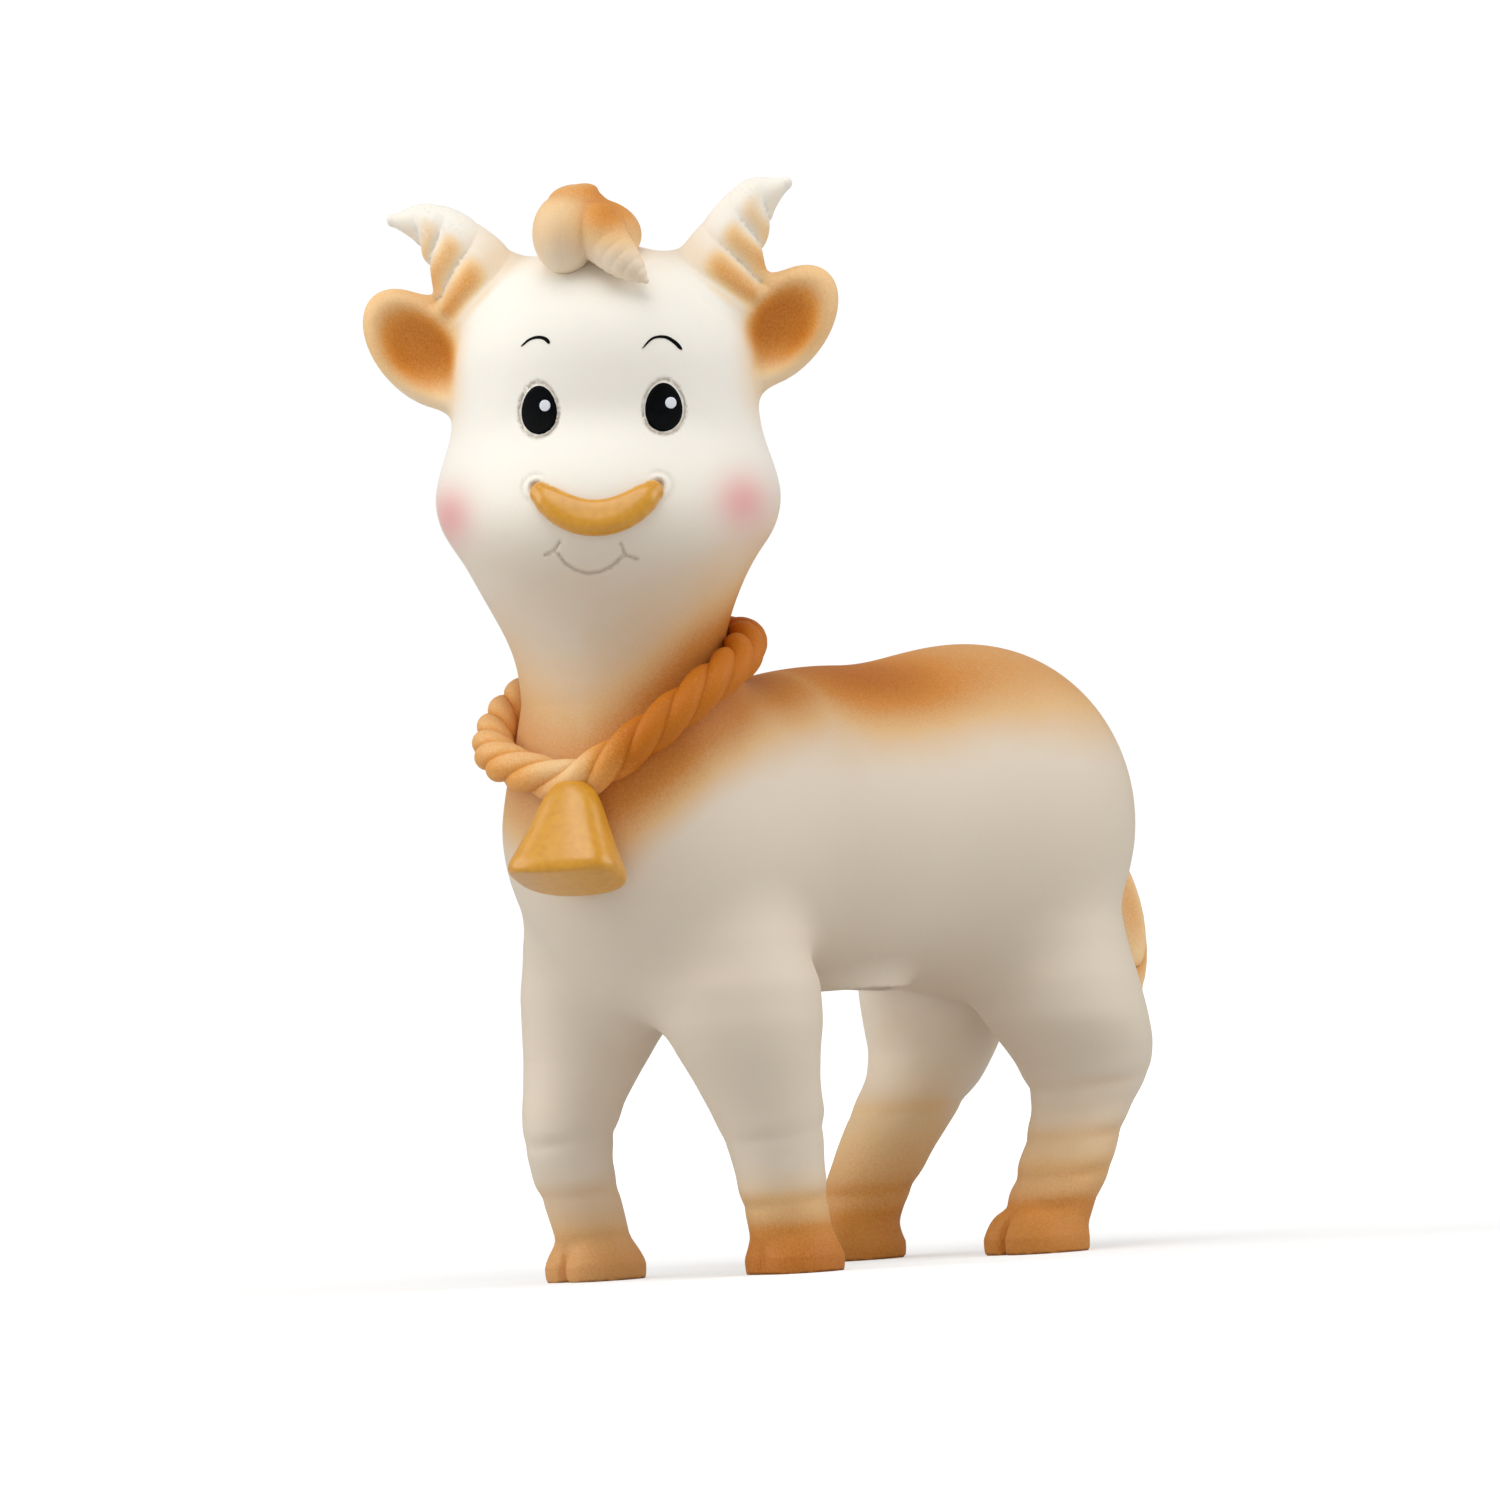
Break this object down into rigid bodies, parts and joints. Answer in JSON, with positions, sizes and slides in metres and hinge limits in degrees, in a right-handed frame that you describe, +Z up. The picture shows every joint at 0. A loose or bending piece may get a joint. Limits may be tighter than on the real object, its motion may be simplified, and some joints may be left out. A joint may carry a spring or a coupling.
{
  "type": "squeaky toy animal",
  "caption": "Hollow natural-rubber squeaky toy: a standing young horned goat with a rope collar, a bell on its chest, a crescent nose ring and a reed squeaker in its belly.",
  "frame": {"origin": "on the ground, under the middle of the toy's bounding box", "axes": "+Z up, the trunk faces -Y, +X is the animal's left"},
  "size_m": [0.0539, 0.1263, 0.1625],
  "materials": {
    "ivory_rubber": "matte moulded latex, airbrushed amber at the neck, back, ears and hooves",
    "amber_rubber": "matte moulded latex with an amber airbrush coat",
    "gold_paint": "satin gold-ochre paint over moulded latex",
    "black_paint": "satin black paint film",
    "white_paint": "satin white paint film",
    "squeaker_plastic": "moulded polyethylene",
    "reed_film": "thin plastic film"
  },
  "bodies": {
    "toy": {"body_skin": "ivory_rubber", "head_skin": "ivory_rubber", "left_horn": "ivory_rubber", "right_horn": "ivory_rubber", "left_ear": "amber_rubber", "right_ear": "amber_rubber", "forelock": "ivory_rubber", "nose_ring": "gold_paint", "rope_collar": "amber_rubber", "bell": "gold_paint", "tail": "ivory_rubber", "left_eye": "black_paint", "right_eye": "black_paint", "left_eye_glint": "white_paint", "right_eye_glint": "white_paint", "left_brow": "black_paint", "right_brow": "black_paint", "squeaker_housing": "squeaker_plastic", "squeaker_cap": "squeaker_plastic", "reed_holder": "squeaker_plastic"},
    "reed": {"squeaker_reed": "reed_film"}
  },
  "joints": [
    {"name": "reed_flex", "type": "hinge", "parent": "toy", "child": "reed", "pos_m": [0.001, 0.0037, 0.04275], "axis": [0, 1, 0], "range_deg": [-3, 3], "stiffness_Nm_per_rad": 0.001}
  ]
}
